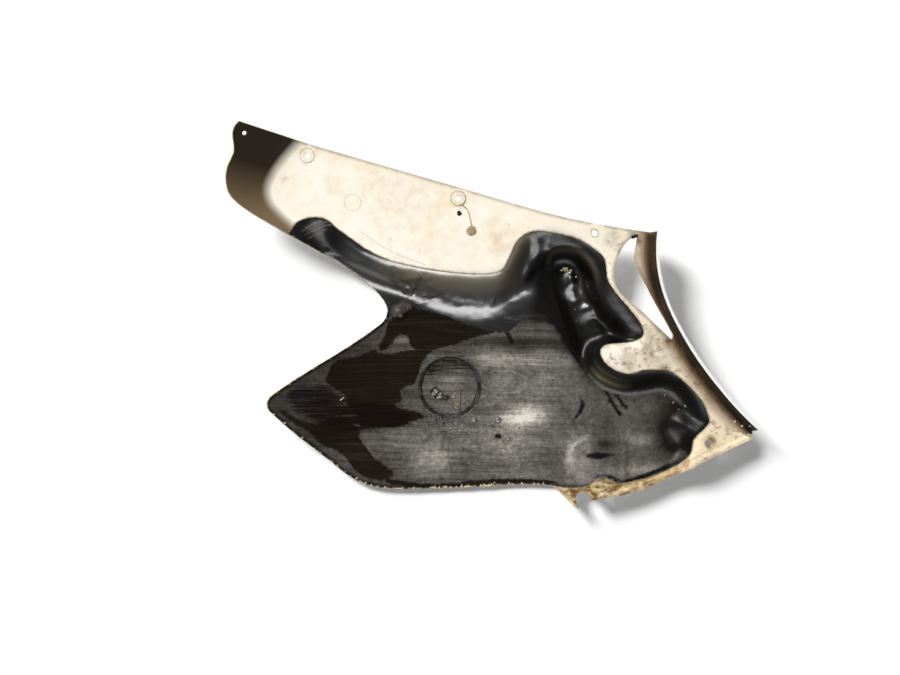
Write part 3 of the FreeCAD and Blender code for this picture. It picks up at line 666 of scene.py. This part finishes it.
def engine_side_finish(marks):
    # Moulded polyester, left bare on the panel and brushed with black heat paint in the belly: the bare part
    # is cream and satin with brown smudges, the thick paint is wet-black and glossy, the thin paint is dull
    # and streaked.
    made, tree = material("heat_painted_polyester_moulding")
    place = add(tree, "ShaderNodeTexCoord").outputs["Object"]
    gap = {name: add(tree, "ShaderNodeAttribute", attribute_name=name).outputs["Fac"] for name in marks}
    noise = coat_patterns(tree, place, gap)
    mask = finish_shares(tree, gap, noise)
    strokes = brush_strokes(tree, gap, noise, mask)
    # The thin coat is pebbled with swellings 4 mm across where it was laid on dirt
    swelling = add(tree, "ShaderNodeMapRange", {"Value": noise["pebble"], "From Min": 0.46,
                                                "From Max": 0.68}).outputs[0]
    swelling = add(tree, "ShaderNodeMath", {0: swelling, 1: gap["pebbly"]}, operation="MULTIPLY").outputs[0]
    grey_and_sheen = film_and_sheen_share(tree, gap, noise, strokes, swelling)
    groove = scored_ring(tree, place, noise)
    cover = add(tree, "ShaderNodeMapRange", {"Value": strokes, "From Min": 0.2, "From Max": 0.38,
                                             "To Min": 1.0, "To Max": 0.85}).outputs[0]
    streaked_oil = add(tree, "ShaderNodeMath", {0: mask["oil"], 1: cover}, operation="MULTIPLY").outputs[0]
    # The bare moulding; the near-black and brown towards the crease at the foot of the front wall are painted
    # shade, as are part of the brown on the flange and part of the black
    colour, rough = laid_over(tree, linear("#f4eee0"), 0.5, (
        (mask["haze"], "#ebdcb8", 0.5), (mask["smudge"], "#dcc192", 0.5), (mask["gold"], "#cfae72", 0.5),
        (mask["dirt"], "#7d5f3a", 0.6), (mask["tan"], "#6b4c2c", 0.6), (mask["wall"], "#1d1410", 0.6),
        (mask["line"], "#7a5a3a", 0.6), (mask["stained_and_shaded"], "#5f4a24", 0.6), (mask["tinted"], "#c9a67c", 0.55),
        (mask["speck"], "#8a7450", 0.6), (mask["soot_and_shade"], "#120c09", 0.5), (mask["spray"], "#2c1f12", 0.8),
        (mask["spray_lighter_low"], "#847053", 0.8), (mask["halo"], "#8c744d", 0.5)))
    # The black coat, from the brushed floor up: the grey film lightens the floor, and where strong it is
    # painted sheen
    coat_colour = add(tree, "ShaderNodeMix", {0: grey_and_sheen, 6: linear("#140e0c"), 7: linear("#dcd7ca")},
                      data_type="RGBA").outputs[2]
    coat_rough = add(tree, "ShaderNodeMapRange", {"Value": strokes, "From Min": 0.14, "From Max": 0.38,
                                                  "To Min": 0.2, "To Max": 0.36}).outputs[0]
    coat_colour, coat_rough = laid_over(tree, coat_colour, coat_rough, (
        (mask["dark_rim"], "#0e0a09", 0.25), (streaked_oil, "#1a130d", 0.16),
        (mask["streaky"], "#130b09", 0.2), (groove, "#0a0807", 0.3), (mask["thick"], "#0d0b0a", 0.24),
        # soot black, which in the pocket, beside it and at the front corner is painted shade
        (mask["dry"], "#0b0908", 0.35), (mask["flaked"], "#0c0907", 0.5), (mask["soot_and_shade"], "#050403", 0.35),
        # the moulding showing through the thin coat, with painted sheen on the slope, painted reflections at
        # the foot of the tongue and a painted highlight on the arch
        (gap["thin_coat_and_sheen"], "#9c8f73", 0.4), (mask["chipped"], "#cdb788", 0.6)))
    colour = add(tree, "ShaderNodeMix", {0: mask["coat"], 6: colour, 7: coat_colour},
                 data_type="RGBA").outputs[2]
    rough = add(tree, "ShaderNodeMix", {0: mask["coat"], 2: rough, 3: coat_rough}).outputs[0]
    # Heights in millimetres: the coat stands proud of the moulding, and its thick part runs smooth
    relief = add(tree, "ShaderNodeMath", {0: mask["coat"], 1: 0.25, 2: 0.0},
                 operation="MULTIPLY_ADD").outputs[0]
    calm = add(tree, "ShaderNodeMath", {0: mask["thick"], 1: -0.85, 2: 1.0},
               operation="MULTIPLY_ADD").outputs[0]
    peel = add(tree, "ShaderNodeMath", {0: noise["peel"], 1: calm}, operation="MULTIPLY").outputs[0]
    ripple = add(tree, "ShaderNodeMath", {0: noise["mottle"], 1: calm}, operation="MULTIPLY").outputs[0]
    for share, height in ((mask["oil"], 0.02), (strokes, 0.012), (peel, 0.02), (ripple, 0.03),
                          (noise["grit"], 0.005), (mask["flaked"], 0.12), (swelling, 0.09), (groove, -0.6)):
        relief = add(tree, "ShaderNodeMath", {0: share, 1: height, 2: relief},
                     operation="MULTIPLY_ADD").outputs[0]
    bump = add(tree, "ShaderNodeBump", {"Height": relief, "Strength": 1.0, "Distance": MM}).outputs[0]
    # Only the thick coat is wet with gloss, and the soot and the black painted as shade take the gloss off it
    wet = add(tree, "ShaderNodeMath", {0: mask["thick"], 1: mask["coat"]}, operation="MULTIPLY").outputs[0]
    for share, most in ((gap["sooty"], 0.93), (mask["soot_and_shade"], 1.0)):
        clear = add(tree, "ShaderNodeMath", {0: share, 1: -most, 2: 1.0}, operation="MULTIPLY_ADD",
                    use_clamp=True).outputs[0]
        wet = add(tree, "ShaderNodeMath", {0: wet, 1: clear}, operation="MULTIPLY").outputs[0]
    shader = add(tree, "ShaderNodeBsdfPrincipled", {"Base Color": colour, "Roughness": rough, "Normal": bump,
                                                    "IOR": 1.5, "Specular IOR Level": 0.1, "Coat Weight": wet,
                                                    "Coat Roughness": 0.28, "Coat IOR": 1.55,
                                                    "Coat Normal": bump})
    add(tree, "ShaderNodeOutputMaterial", {"Surface": shader.outputs[0]})
    return made


def painted_finish():
    # Sprayed white two-pack paint: bright and glossy, with a faint orange-peel skin.
    made, tree = material("white_two_pack_paint")
    place = add(tree, "ShaderNodeTexCoord").outputs["Object"]
    peel = add(tree, "ShaderNodeTexNoise", {"Vector": place, "Scale": 1 / 0.003,
                                            "Detail": 2.0}).outputs["Fac"]
    film_and_sheen = add(tree, "ShaderNodeTexNoise", {"Vector": place, "Scale": 1 / 0.08, "Detail": 5.0}).outputs["Fac"]
    colour = add(tree, "ShaderNodeMix", {0: film_and_sheen, 6: linear("#f7f6f3"), 7: linear("#e9e7e1")},
                 data_type="RGBA").outputs[2]
    rough = add(tree, "ShaderNodeMapRange", {"Value": film_and_sheen, "To Min": 0.16, "To Max": 0.3}).outputs[0]
    bump = add(tree, "ShaderNodeBump", {"Height": peel, "Strength": 0.15, "Distance": 0.0002}).outputs[0]
    shader = add(tree, "ShaderNodeBsdfPrincipled", {"Base Color": colour, "Roughness": rough, "Normal": bump,
                                                    "IOR": 1.5})
    add(tree, "ShaderNodeOutputMaterial", {"Surface": shader.outputs[0]})
    return made


def cut_edge_finish():
    # Sawn and filed polyester edge: dry cream with brown dirt in its grain.
    made, tree = material("sawn_polyester_edge")
    place = add(tree, "ShaderNodeTexCoord").outputs["Object"]
    grain = add(tree, "ShaderNodeTexNoise", {"Vector": place, "Scale": 1 / 0.008, "Detail": 6.0,
                                             "Roughness": 0.6}).outputs["Fac"]
    dirt = add(tree, "ShaderNodeMapRange", {"Value": grain, "From Min": 0.32, "From Max": 0.74}).outputs[0]
    colour = add(tree, "ShaderNodeMix", {0: dirt, 6: linear("#d6c08c"), 7: linear("#5d4a28")},
                 data_type="RGBA").outputs[2]
    bump = add(tree, "ShaderNodeBump", {"Height": grain, "Strength": 0.6, "Distance": 0.0005}).outputs[0]
    shader = add(tree, "ShaderNodeBsdfPrincipled", {"Base Color": colour, "Roughness": 0.62, "Normal": bump,
                                                    "IOR": 1.5})
    add(tree, "ShaderNodeOutputMaterial", {"Surface": shader.outputs[0]})
    return made


pan_mesh = moulding_copy()
sheet_edge = edge_of_sheet(pan_mesh)
marks = lay_finish(pan_mesh, sheet_edge)
for finish in (engine_side_finish(marks), painted_finish(), cut_edge_finish()):
    pan_mesh.materials.append(finish)
pan = bpy.data.objects.new("belly_pan_moulding", pan_mesh)
bpy.context.collection.objects.link(pan)

skin = BVHTree.FromPolygons([v.co for v in pan_mesh.vertices], [f.vertices for f in pan_mesh.polygons])


def on_skin(x, y, lift=0.0):
    hit = skin.ray_cast((x * MM, y * MM, 0.2), (0, 0, -1))[0]
    return None if hit is None else (hit.x, hit.y, hit.z + lift * MM)


def laid(line, lift=0.0):
    # A line or a set of spots laid on the moulding, without what falls past its edge.
    return [point for point in (on_skin(*spot, lift) for spot in line) if point]


def on_rim(x, y):
    # Nearest upper corner of the cut edge, looked for at all heights of the part.
    near = [sheet_edge.find((x * MM, y * MM, z))[0] for z in EDGE_HEIGHTS]
    return min(near, key=lambda spot: (spot.x - x * MM) ** 2 + (spot.y - y * MM) ** 2 - 1e-4 * spot.z)


def ring_line(x, y, radius, count):
    turns = np.linspace(0, 2 * math.pi, count, endpoint=False)
    return [(x + radius * math.cos(turn), y + radius * math.sin(turn)) for turn in turns]


def bead_tree():
    # A run of paint or glue that follows a line on the moulding.
    tree = bpy.data.node_groups.new("run_of_paint", "GeometryNodeTree")
    face = tree.interface
    face.new_socket("Geometry", in_out="INPUT", socket_type="NodeSocketGeometry")
    for name, kind in (("Thickness", "NodeSocketFloat"), ("Step", "NodeSocketFloat"),
                       ("Waver", "NodeSocketFloat"), ("Seed", "NodeSocketFloat"),
                       ("Finish", "NodeSocketMaterial")):
        face.new_socket(name, in_out="INPUT", socket_type=kind)
    face.new_socket("Geometry", in_out="OUTPUT", socket_type="NodeSocketGeometry")
    given = add(tree, "NodeGroupInput").outputs
    spaced = add(tree, "GeometryNodeResampleCurve", {"Curve": given["Geometry"], "Length": given["Step"]},
                 mode="LENGTH")
    wave = add(tree, "ShaderNodeTexNoise", {"W": given["Seed"], "Scale": 1 / 0.004, "Detail": 2.0},
               noise_dimensions="4D")
    centred = add(tree, "ShaderNodeVectorMath", {0: wave.outputs["Color"], 1: (0.5, 0.5, 0.5)},
                  operation="SUBTRACT")
    shift = add(tree, "ShaderNodeVectorMath", {0: centred.outputs[0], "Scale": given["Waver"]},
                operation="SCALE")
    moved = add(tree, "GeometryNodeSetPosition", {"Geometry": spaced.outputs[0], "Offset": shift.outputs[0]})
    profile = add(tree, "GeometryNodeCurvePrimitiveCircle", {"Resolution": 6, "Radius": given["Thickness"]})
    tube = add(tree, "GeometryNodeCurveToMesh", {"Curve": moved.outputs[0],
                                                 "Profile Curve": profile.outputs[0],
                                                 "Fill Caps": True})
    smooth = add(tree, "GeometryNodeSetShadeSmooth", {"Geometry": tube.outputs[0]})
    real = add(tree, "GeometryNodeRealizeInstances", {"Geometry": smooth.outputs[0]})
    dressed = add(tree, "GeometryNodeSetMaterial", {"Geometry": real.outputs[0], "Material": given["Finish"]})
    add(tree, "NodeGroupOutput", {"Geometry": dressed.outputs[0]})
    return tree


def lump_tree():
    # Uneven lumps on given spots: blisters of paint, crumbs of resin, chips along an edge.
    tree = bpy.data.node_groups.new("lumps_on_spots", "GeometryNodeTree")
    face = tree.interface
    face.new_socket("Geometry", in_out="INPUT", socket_type="NodeSocketGeometry")
    for name, kind in (("Least", "NodeSocketFloat"), ("Most", "NodeSocketFloat"),
                       ("Flatness", "NodeSocketFloat"), ("Unevenness", "NodeSocketFloat"),
                       ("Seed", "NodeSocketInt"), ("Finish", "NodeSocketMaterial")):
        face.new_socket(name, in_out="INPUT", socket_type=kind)
    face.new_socket("Geometry", in_out="OUTPUT", socket_type="NodeSocketGeometry")
    given = add(tree, "NodeGroupInput").outputs
    pick = {"Min": given["Least"], "Max": given["Most"], "Seed": given["Seed"]}
    wide = add(tree, "FunctionNodeRandomValue", data_type="FLOAT")
    for name, source in pick.items():
        tree.links.new(source, next(i for i in wide.inputs if i.name == name and i.enabled))
    width = next(o for o in wide.outputs if o.enabled)
    height = add(tree, "ShaderNodeMath", {0: width, 1: given["Flatness"]}, operation="MULTIPLY")
    size = add(tree, "ShaderNodeCombineXYZ", {"X": width, "Y": width, "Z": height.outputs[0]})
    ball = add(tree, "GeometryNodeMeshIcoSphere", {"Radius": 1.0, "Subdivisions": 2})
    placed = add(tree, "GeometryNodeInstanceOnPoints", {"Points": given["Geometry"],
                                                        "Instance": ball.outputs["Mesh"],
                                                        "Scale": size.outputs[0]})
    real = add(tree, "GeometryNodeRealizeInstances", {"Geometry": placed.outputs[0]})
    lumpy = add(tree, "ShaderNodeTexNoise", {"Scale": 1 / 0.0022, "Detail": 2.0})
    centred = add(tree, "ShaderNodeVectorMath", {0: lumpy.outputs["Color"], 1: (0.5, 0.5, 0.5)},
                  operation="SUBTRACT")
    shift = add(tree, "ShaderNodeVectorMath", {0: centred.outputs[0], "Scale": given["Unevenness"]},
                operation="SCALE")
    moved = add(tree, "GeometryNodeSetPosition", {"Geometry": real.outputs[0], "Offset": shift.outputs[0]})
    smooth = add(tree, "GeometryNodeSetShadeSmooth", {"Geometry": moved.outputs[0]})
    dressed = add(tree, "GeometryNodeSetMaterial", {"Geometry": smooth.outputs[0],
                                                    "Material": given["Finish"]})
    add(tree, "NodeGroupOutput", {"Geometry": dressed.outputs[0]})
    return tree


def grown(name, source, tree, **values):
    # Runs a node tree on a source and keeps the result as a plain mesh at the origin.
    seed_piece = bpy.data.objects.new(name + "_source", source)
    bpy.context.collection.objects.link(seed_piece)
    modifier = seed_piece.modifiers.new("nodes", "NODES")
    modifier.node_group = tree
    for item in tree.interface.items_tree:
        if item.in_out == "INPUT" and item.name in values:
            modifier[item.identifier] = values[item.name]
    mesh = bpy.data.meshes.new_from_object(seed_piece.evaluated_get(bpy.context.evaluated_depsgraph_get()))
    seed_piece.modifiers.remove(modifier)
    bpy.data.objects.remove(seed_piece)
    mesh.name = name
    made = bpy.data.objects.new(name, mesh)
    bpy.context.collection.objects.link(made)
    return made


def path_of(name, *lines, closed=False):
    curve = bpy.data.curves.new(name + "_path", "CURVE")
    curve.dimensions = "3D"
    for points in lines:
        spline = curve.splines.new("POLY")
        spline.points.add(len(points) - 1)
        for knot, point in zip(spline.points, points):
            knot.co = (*point, 1)
        spline.use_cyclic_u = closed
    return curve


def spots_of(name, points):
    mesh = bpy.data.meshes.new(name + "_spots")
    mesh.from_pydata(points, [], [])
    return mesh


def crumpled(name, patch, spacing, height, finish, seed):
    # A torn and lifted scrap of sheet over a patch: uneven, thin and closed all round.
    dice = np.random.default_rng(seed)
    ring = np.array(patch, float)
    low, high = ring.min(axis=0), ring.max(axis=0)
    columns, rows = (np.arange(low[i], high[i], spacing) for i in (0, 1))
    grid = np.array([(gx, gy) for gx in columns for gy in rows])
    grid = grid + dice.uniform(-0.35, 0.35, grid.shape) * spacing
    grid = grid[patch_gap(grid, ring) > 0.3 * spacing]
    plan = np.vstack([ring, grid])
    sides = [(i, (i + 1) % len(ring)) for i in range(len(ring))]
    flat, _, faces, *_ = delaunay_2d_cdt([tuple(spot) for spot in plan], sides, [], 1, 1e-6)
    spots = [on_skin(*spot, lift=0.25 + height * float(dice.uniform(0, 1)) ** 2) for spot in flat]
    mesh = bpy.data.meshes.new(name)
    mesh.from_pydata(spots, [], faces)
    mesh.materials.append(finish)
    made = bpy.data.objects.new(name, mesh)
    bpy.context.collection.objects.link(made)
    wall = made.modifiers.new("wall", "SOLIDIFY")
    wall.thickness = 0.35 * MM
    made.data = bpy.data.meshes.new_from_object(made.evaluated_get(bpy.context.evaluated_depsgraph_get()))
    made.modifiers.clear()
    made.data.name = name
    return made


def black_paint_finish(name, deep, worn):
    # Brushed-on black heat paint standing in a bead or blister: wet-black or filmed with dust,
    # with small sharp glints.
    made, tree = material(name)
    place = add(tree, "ShaderNodeTexCoord").outputs["Object"]
    skin_noise = add(tree, "ShaderNodeTexNoise", {"Vector": place, "Scale": 1 / 0.002,
                                                  "Detail": 3.0}).outputs["Fac"]
    colour = add(tree, "ShaderNodeMix", {0: skin_noise, 6: linear(deep), 7: linear(worn)},
                 data_type="RGBA").outputs[2]
    rough = add(tree, "ShaderNodeMapRange", {"Value": skin_noise, "To Min": 0.15, "To Max": 0.4}).outputs[0]
    bump = add(tree, "ShaderNodeBump", {"Height": skin_noise, "Strength": 0.4, "Distance": 0.0003}).outputs[0]
    shader = add(tree, "ShaderNodeBsdfPrincipled", {"Base Color": colour, "Roughness": rough, "Normal": bump,
                                                    "IOR": 1.5})
    add(tree, "ShaderNodeOutputMaterial", {"Surface": shader.outputs[0]})
    return made


def resin_finish(name, pale, dark):
    # Broken polyester resin or old glue: dry, cream to brown, darker in its hollows.
    made, tree = material(name)
    place = add(tree, "ShaderNodeTexCoord").outputs["Object"]
    fleck = add(tree, "ShaderNodeTexNoise", {"Vector": place, "Scale": 1 / 0.0016, "Detail": 4.0,
                                             "Roughness": 0.7}).outputs["Fac"]
    share = add(tree, "ShaderNodeMapRange", {"Value": fleck, "From Min": 0.38, "From Max": 0.64}).outputs[0]
    colour = add(tree, "ShaderNodeMix", {0: share, 6: linear(pale), 7: linear(dark)},
                 data_type="RGBA").outputs[2]
    bump = add(tree, "ShaderNodeBump", {"Height": fleck, "Strength": 0.6, "Distance": 0.0004}).outputs[0]
    shader = add(tree, "ShaderNodeBsdfPrincipled", {"Base Color": colour, "Roughness": 0.55, "Normal": bump,
                                                    "IOR": 1.5})
    add(tree, "ShaderNodeOutputMaterial", {"Surface": shader.outputs[0]})
    return made


black_paint = black_paint_finish("black_heat_paint_bead", "#0a0807", "#2a221d")
dull_paint = black_paint_finish("dusty_heat_paint_blister", "#2c2622", "#8a8078")
pale_resin = resin_finish("broken_polyester_resin", "#e2d3ae", "#94794e")
old_glue = resin_finish("old_brown_glue", "#b8a277", "#5d4a2e")
torn_fibre = resin_finish("torn_glass_fibre", "#5f5334", "#1d180e")
run_of_paint = bead_tree()
lumps = lump_tree()

circle = ring_line(*SCRIBED_CIRCLE, 39)
fine_lines = [softened(line, 1) for line in SCRATCHES + [circle + circle[:1]]]
brush_lines = [softened(line, 1) for line in BRUSH_LINES]
pale_edges = [[on_rim(*spot) for spot in softened(edge)] for edge in PALE_EDGE_LINES]
small_pieces = []
# Runs of paint, glue and resin: name, lines, closed or open, thickness, step, waver, seed, finish
for name, lines, closed, thickness, step, waver, seed, finish in (
        ("coat_edge_bead", [laid(softened(COAT_LINE[1:-2]))], False, 0.35, 1.6, 1.6, 3.0, black_paint),
        ("disc_lip_inner", [laid(ring_line(*DISC_CENTRE, 32.9, 90))], True, 0.2, 2, 1.1, 32.9, black_paint),
        ("disc_lip_outer", [laid(ring_line(*DISC_CENTRE, 37.0, 90))], True, 0.32, 2, 1.1, 37.0, black_paint),
        ("scratches", [laid(line) for line in fine_lines], False, 0.17, 1.2, 0.8, 4.0, old_glue),
        ("arm_brush_lines", [laid(line) for line in brush_lines], False, 0.28, 1.2, 0.8, 4.0, dull_paint),
        ("glue_run", [laid(softened(GLUE_RUN))], False, 0.6, 1.5, 0.8, 7.0, old_glue),
        ("resin_sliver", [laid(SLIVER, lift=0.3)], False, 0.5, 1.5, 0.3, 2.0, pale_resin),
        ("flange_fold_line", [laid(softened(FLANGE_FOLD))], False, 0.5, 2, 0.7, 9.0, pale_resin),
        ("rear_seat_line", [laid(ring_line(-90, 0, 8.2, 40))], True, 0.3, 1.5, 0.5, -90, old_glue),
        ("middle_seat_line", [laid(ring_line(90, 0, 8.4, 40))], True, 0.4, 1.5, 0.5, 90, old_glue),
        ("front_hole_line", [laid(ring_line(251.5, 4.5, 4.6, 40))], True, 0.3, 1.5, 0.5, 251.5, old_glue),
        # the pale lines along the cut edges are partly a painted highlight
        ("pale_edge_lines", pale_edges, False, 0.4, 1.2, 0.9, 6.0, pale_resin)):
    path = path_of(name, *lines, closed=closed)
    small_pieces.append(grown(name, path, run_of_paint, Thickness=thickness * MM, Step=step * MM,
                              Waver=waver * MM, Seed=seed, Finish=finish))
small_pieces.append(crumpled("torn_fibre_patch", TORN_PATCH, 1.7, 1.1, torn_fibre, 21))
small_pieces.append(crumpled("lifted_coat_scrap", LIFTED_COAT, 2.2, 2.6, black_paint, 22))

# Chips gather in clusters along the nearest edge of the sheet and lie a little inside it
CHIPS_IN_CLUSTER = 7
chips = []
chance = np.random.default_rng(11)
for line, number in CHIPPED_EDGES:
    run = softened(line)
    last = len(run) - 1.001
    clusters = chance.uniform(0, last, number // CHIPS_IN_CLUSTER)
    for share in np.clip(chance.choice(clusters, number) + chance.normal(0, 0.09, number), 0, last):
        a, b = run[int(share)], run[int(share) + 1]
        spot = a + (b - a) * (share % 1) + chance.normal(0, 1.5, 2)
        edge = np.array(sheet_edge.find((spot[0] * MM, spot[1] * MM, BOTTOM_EDGE_HEIGHT))[0][:2]) / MM
        inward = np.array(BELLY_MIDDLE) - edge
        chips.append(edge + inward / np.hypot(*inward) * chance.exponential(0.6))
# Lumps on the moulding: name, places, least and most radius, flatness, unevenness, finish
for name, places, least, most, flatness, uneven, finish in (
        ("paint_blisters", BLISTERS, 2.6, 3.8, 0.45, 1.2, dull_paint),
        ("small_paint_blisters", SMALL_BLISTERS, 0.9, 2.1, 0.45, 0.8, dull_paint),
        ("pocket_scraps", POCKET_SCRAPS, 0.7, 1.8, 0.45, 2.0, pale_resin),
        ("pocket_specks", POCKET_SPECKS, 0.25, 0.55, 0.5, 0.5, pale_resin),
        ("resin_crumbs", CRUMBS, 0.8, 1.7, 0.6, 0.9, pale_resin),
        ("break_rubble", RUBBLE, 0.9, 2.2, 0.6, 1.4, black_paint),
        ("paint_spots", PAINT_SPOTS, 1.3, 2.6, 0.12, 0.9, black_paint),
        ("glue_dab", GLUE_DAB, 6.0, 6.1, 0.14, 0.9, old_glue),
        ("edge_chips", chips, 0.2, 0.95, 0.5, 0.9, pale_resin)):
    small_pieces.append(grown(name, spots_of(name, laid(places)), lumps, Least=least * MM, Most=most * MM,
                              Flatness=flatness, Unevenness=uneven * MM, Seed=5, Finish=finish))

# Studio: pale floor, soft light from the upper left, a strip of light below the view,
# and a camera straight above
VIEW_TURN = math.radians(15.795)
VIEW_CENTRE = (0.12424, -0.15592)
CAMERA_HEIGHT = 1.5
STRIP_BACK = 0.85
STRIP_HEIGHT = 1.0
FLOOR_HALF = 4

key = bpy.data.objects.new("key_light", bpy.data.lights.new("key_light", "SUN"))
key.data.energy = 3.9
key.data.angle = math.radians(18)
key.rotation_euler = (math.radians(49), 0, math.radians(225) + VIEW_TURN)
bpy.context.collection.objects.link(key)

strip = bpy.data.objects.new("low_window", bpy.data.lights.new("low_window", "AREA"))
strip.data.shape = "RECTANGLE"
strip.data.size = 1.2
strip.data.size_y = 0.7
strip.data.energy = 36
strip.location = (VIEW_CENTRE[0] + STRIP_BACK * math.sin(VIEW_TURN),
                  VIEW_CENTRE[1] - STRIP_BACK * math.cos(VIEW_TURN), STRIP_HEIGHT)
strip.rotation_euler = (Vector((*VIEW_CENTRE, 0)) - strip.location).to_track_quat("-Z", "Y").to_euler()
strip.visible_diffuse = False
bpy.context.collection.objects.link(strip)

# The ceiling over the camera is dark and the walls are bright, so flat gloss stays black
# and slopes show grey
world = bpy.data.worlds.new("studio")
world.use_nodes = True
air = world.node_tree
outlook = add(air, "ShaderNodeTexCoord").outputs["Generated"]
way_up = add(air, "ShaderNodeSeparateXYZ", {0: outlook}).outputs["Z"]
walls = add(air, "ShaderNodeMapRange", {"Value": way_up, "From Min": 0.6, "From Max": 1.0,
                                        "To Min": 0.45, "To Max": 0.05})
air.links.new(walls.outputs[0], air.nodes["Background"].inputs["Strength"])
air.nodes["Background"].inputs["Color"].default_value = linear("#ffffff")
bpy.context.scene.world = world
bpy.context.scene.view_settings.view_transform = "Standard"

floor_mesh = bpy.data.meshes.new("studio_floor")
floor_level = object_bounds()[0][2]
floor_corners = [(x * FLOOR_HALF, y * FLOOR_HALF, floor_level)
                 for x, y in ((-1, -1), (1, -1), (1, 1), (-1, 1))]
floor_mesh.from_pydata(floor_corners, [], [(0, 1, 2, 3)])
# Matt white background paper
floor_finish, floor_tree = material("studio_paper")
paper = add(floor_tree, "ShaderNodeBsdfPrincipled", {"Base Color": linear("#f6f6f6"), "Roughness": 0.9,
                                                     "Specular IOR Level": 0.1})
add(floor_tree, "ShaderNodeOutputMaterial", {"Surface": paper.outputs[0]})
floor_mesh.materials.append(floor_finish)
floor_piece = bpy.data.objects.new("studio_floor", floor_mesh)
bpy.context.collection.objects.link(floor_piece)

camera_data = bpy.data.cameras.new("camera")
camera_data.sensor_width = 36
camera_data.lens = 52.41
camera = bpy.data.objects.new("camera", camera_data)
camera.location = (*VIEW_CENTRE, CAMERA_HEIGHT)
camera.rotation_euler = (0, 0, VIEW_TURN)
bpy.context.collection.objects.link(camera)
bpy.context.scene.camera = camera

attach(pan, "root")
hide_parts("belly_pan")
for piece in small_pieces:
    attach(piece, "root")
